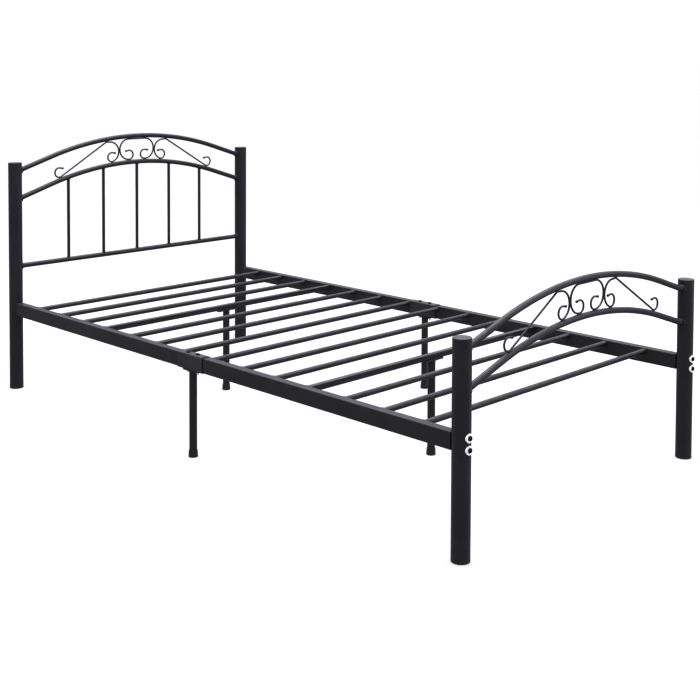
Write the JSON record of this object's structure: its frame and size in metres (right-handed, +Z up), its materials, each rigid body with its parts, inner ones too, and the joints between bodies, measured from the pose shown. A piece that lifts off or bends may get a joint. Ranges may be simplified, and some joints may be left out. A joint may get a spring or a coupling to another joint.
{
  "type": "bed frame",
  "caption": "Single bed frame of black steel tube with arched scroll-work head and foot boards, round posts and a bolted two-piece slatted base on support legs.",
  "frame": {"origin": "on the floor, at the middle of the rectangle of the four posts, which is the middle of the underside of the bounding box", "axes": "+X across the bed, to the right seen from the foot; +Y along the bed, towards the headboard; +Z up"},
  "size_m": [1.04, 2.0212, 0.8495],
  "materials": {
    "black_powder_coat": "satin powder coat with a fine orange-peel texture",
    "black_plastic": "moulded, matt, slightly grained",
    "black_bolt_steel": "black oxide, satin",
    "zinc_steel": "bright zinc plate",
    "bare_steel": "bare mild steel"
  },
  "bodies": {
    "root": {"centre_leg_bolts": "black_bolt_steel", "centre_leg_foot": "black_powder_coat", "centre_leg_head": "black_powder_coat", "crossbar_foot": "black_powder_coat", "crossbar_head": "black_powder_coat", "crossbar_inserts": "zinc_steel", "foot_lower_arch": "black_powder_coat", "foot_scroll_centre": "black_powder_coat", "foot_scroll_left": "black_powder_coat", "foot_scroll_right": "black_powder_coat", "foot_upper_arch": "black_powder_coat", "head_bar": "black_powder_coat", "head_lower_arch": "black_powder_coat", "head_scroll_centre": "black_powder_coat", "head_scroll_left": "black_powder_coat", "head_scroll_right": "black_powder_coat", "head_spindle_1": "black_powder_coat", "head_spindle_2": "black_powder_coat", "head_spindle_3": "black_powder_coat", "head_spindle_4": "black_powder_coat", "head_spindle_5": "black_powder_coat", "head_upper_arch": "black_powder_coat", "joint_bolts": "black_bolt_steel", "joint_nuts": "zinc_steel", "leg_shoes": "black_plastic", "post_bolts": "black_bolt_steel", "post_foot_cap_foot_left": "black_plastic", "post_foot_cap_foot_right": "black_plastic", "post_foot_cap_head_left": "black_plastic", "post_foot_cap_head_right": "black_plastic", "post_foot_left": "black_powder_coat", "post_foot_right": "black_powder_coat", "post_head_left": "black_powder_coat", "post_head_right": "black_powder_coat", "post_top_cap_foot_left": "black_plastic", "post_top_cap_foot_right": "black_plastic", "post_top_cap_head_left": "black_plastic", "post_top_cap_head_right": "black_plastic", "post_washers": "zinc_steel", "rail_end_blocks": "bare_steel", "rail_foot_left": "black_powder_coat", "rail_foot_right": "black_powder_coat", "rail_head_left": "black_powder_coat", "rail_head_right": "black_powder_coat", "rail_sleeve_left": "black_powder_coat", "rail_sleeve_right": "black_powder_coat", "side_leg_left": "black_powder_coat", "side_leg_right": "black_powder_coat", "slat_foot_1": "black_powder_coat", "slat_foot_2": "black_powder_coat", "slat_foot_3": "black_powder_coat", "slat_foot_5": "black_powder_coat", "slat_foot_6": "black_powder_coat", "slat_foot_7": "black_powder_coat", "slat_head_1": "black_powder_coat", "slat_head_2": "black_powder_coat", "slat_head_3": "black_powder_coat", "slat_head_5": "black_powder_coat", "slat_head_6": "black_powder_coat", "slat_head_7": "black_powder_coat"}
  },
  "joints": []
}
